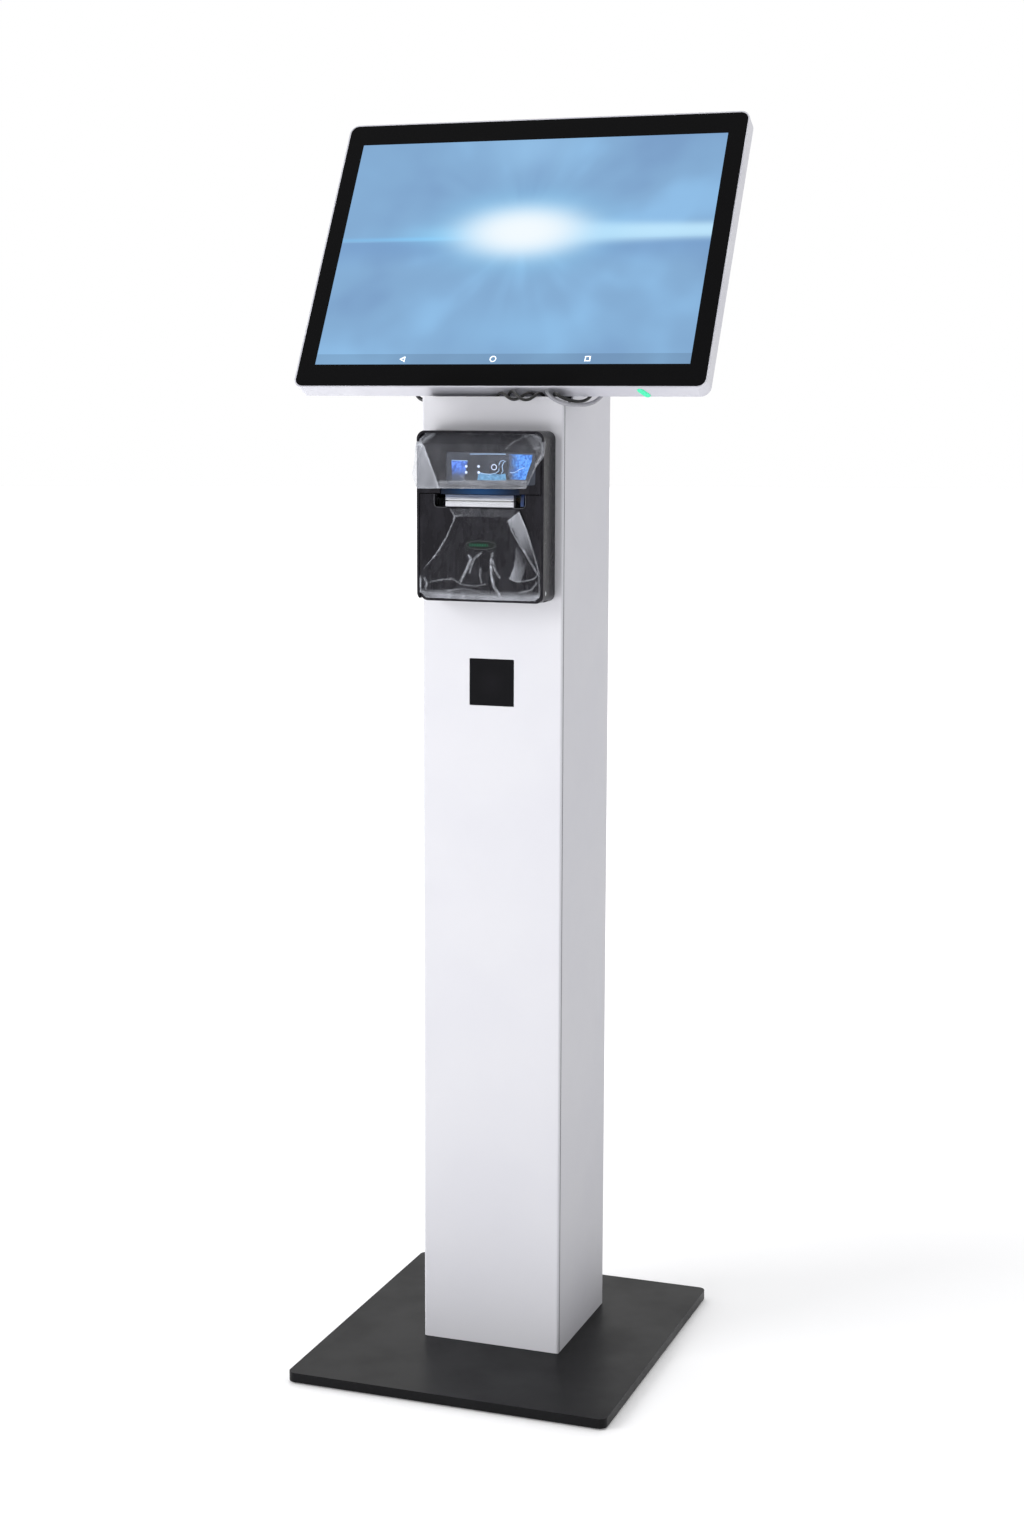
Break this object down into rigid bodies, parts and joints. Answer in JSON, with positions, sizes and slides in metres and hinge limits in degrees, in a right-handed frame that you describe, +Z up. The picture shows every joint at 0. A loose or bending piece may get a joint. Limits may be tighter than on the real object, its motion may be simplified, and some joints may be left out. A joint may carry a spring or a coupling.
{
  "type": "ticket vending machine",
  "caption": "Floor-standing self-service ticket kiosk: tilted touch display on a slim square column with a front ticket printer, code reader window and flat floor plate.",
  "frame": {"origin": "centre of the floor plate footprint, on the floor", "axes": "+Z up, -Y towards the user in front of the screen, +X to the right of a viewer facing the machine"},
  "size_m": [0.524, 0.45, 1.5407],
  "materials": {
    "black_plate": "satin black powder coat",
    "silver_paint": "satin silver-grey powder coat",
    "case_paint": "satin silver-grey paint on cast aluminium",
    "rubber": "matt",
    "zinc": "zinc plated",
    "black_bracket": "satin black powder coat",
    "washer": "friction disc",
    "dark_glass": "polished, black back print",
    "screen": "lit blue picture behind the glass",
    "board": "green solder mask",
    "black_plastic": "matt moulded black",
    "lit_green": "translucent, lit mint green",
    "steel_case": "perforated galvanised sheet",
    "printer_dark": "moulded dark grey, semi gloss",
    "label": "printed membrane",
    "blue_guide": "translucent blue",
    "lamp": "translucent white",
    "bar": "satin",
    "head": "ceramic head on a steel heat sink",
    "motor": "plated can",
    "gear": "acetal",
    "platen": "ground rubber",
    "paper": "thermal paper",
    "badge": "printed oval",
    "film": "clear protective film",
    "black_cable": "semi gloss PVC",
    "grey_cable": "semi gloss grey PVC"
  },
  "bodies": {
    "stand": {"base_plate": "black_plate", "column_shell": "silver_paint", "front_panel": "silver_paint", "column_cap": "silver_paint", "foot_pads": "rubber", "cable_grommets": "rubber", "column_flange": "zinc", "frame_bolts": "zinc", "panel_nuts": "zinc", "hinge_pins": "zinc", "door_pins": "zinc", "print_frame": "zinc", "tilt_base": "black_bracket", "friction_washers": "washer", "scanner_window": "dark_glass", "mains_inlet": "black_plastic", "scanner_frame": "black_plastic", "scanner_module": "black_plastic", "paper_bucket": "black_plastic", "power_supply": "steel_case", "printer_housing": "printer_dark", "printer_cover": "printer_dark", "control_label": "label", "light_guide": "blue_guide", "status_lamps": "lamp", "tear_bar": "bar", "print_head": "head", "step_motor": "motor", "paper_strip": "paper", "film_upper": "film", "cable_left": "black_cable", "cable_front_a": "black_cable", "cable_front_b": "black_cable", "cable_black": "black_cable", "cable_grey": "grey_cable"},
    "display": {"display_case": "case_paint", "touch_glass": "dark_glass", "lcd_panel": "screen", "main_board": "board", "speakers": "black_plastic", "rear_cover": "silver_paint", "display_bracket": "black_bracket", "bracket_screws": "zinc", "tilt_pins": "zinc", "cable_plugs": "black_plastic"},
    "power_key": {"power_button": "lit_green"},
    "rear_door": {"rear_door": "silver_paint", "lock_barrel": "zinc"},
    "lock": {"lock_cam": "zinc"},
    "switch": {"power_switch": "black_plastic"},
    "printer_door": {"printer_door": "printer_dark", "guide_bar": "bar", "badge": "badge", "film_lower": "film"},
    "platen": {"platen_roller": "platen"},
    "idler": {"idler_gear": "gear"},
    "pinion": {"motor_pinion": "gear"},
    "roll": {"paper_roll": "paper"},
    "feed_key": {"feed_button": "lamp"},
    "lever": {"release_lever": "blue_guide"}
  },
  "joints": [
    {"name": "display_tilt", "type": "hinge", "parent": "stand", "child": "display", "pos_m": [0, 0.09483, 1.32126], "axis": [1, 0, 0], "range_deg": [-12, 0], "deforming": ["cable_left", "cable_front_a", "cable_front_b", "cable_black", "cable_grey"]},
    {"name": "power_press", "type": "slide", "parent": "display", "child": "power_key", "axis": [0, 0.4924, 0.8704], "range_m": [0, 0.001], "stiffness_N_per_m": 500, "springref_m": -0.001},
    {"name": "rear_door_hinge", "type": "hinge", "parent": "stand", "child": "rear_door", "pos_m": [0.072, 0.1315, 0.56], "axis": [0, 0, -1], "range_deg": [0, 110]},
    {"name": "lock_turn", "type": "hinge", "parent": "rear_door", "child": "lock", "pos_m": [-0.047, 0.12, 0.56], "axis": [0, -1, 0], "range_deg": [0, 90]},
    {"name": "switch_rock", "type": "hinge", "parent": "stand", "child": "switch", "pos_m": [0, 0.125, 0.061], "axis": [1, 0, 0], "range_deg": [-14, 0]},
    {"name": "printer_door_hinge", "type": "hinge", "parent": "stand", "child": "printer_door", "pos_m": [0, -0.089, 0.969], "axis": [1, 0, 0], "range_deg": [0, 85]},
    {"name": "platen_spin", "type": "hinge", "parent": "printer_door", "child": "platen", "pos_m": [0, -0.084, 1.0705], "axis": [1, 0, 0], "continuous": true},
    {"name": "idler_spin", "type": "hinge", "parent": "stand", "child": "idler", "pos_m": [0, -0.06715, 1.0705], "axis": [1, 0, 0], "continuous": true},
    {"name": "pinion_spin", "type": "hinge", "parent": "stand", "child": "pinion", "pos_m": [0, -0.05672, 1.06007], "axis": [1, 0, 0], "continuous": true},
    {"name": "roll_spin", "type": "hinge", "parent": "stand", "child": "roll", "pos_m": [0, -0.04942, 1.008], "axis": [1, 0, 0], "continuous": true},
    {"name": "feed_press", "type": "slide", "parent": "stand", "child": "feed_key", "axis": [0, 1, 0], "range_m": [0, 0.0008], "stiffness_N_per_m": 600, "springref_m": -0.0006},
    {"name": "lever_press", "type": "hinge", "parent": "stand", "child": "lever", "pos_m": [0.0522, -0.087, 1.0885], "axis": [1, 0, 0], "range_deg": [0, 8], "stiffness_Nm_per_rad": 0.02, "springref_deg": -11.46}
  ],
  "couplings": [
    {"joint": "platen_spin", "follows": "roll_spin", "ratio": -4.6667},
    {"joint": "idler_spin", "follows": "roll_spin", "ratio": 2.8},
    {"joint": "pinion_spin", "follows": "roll_spin", "ratio": -7}
  ]
}
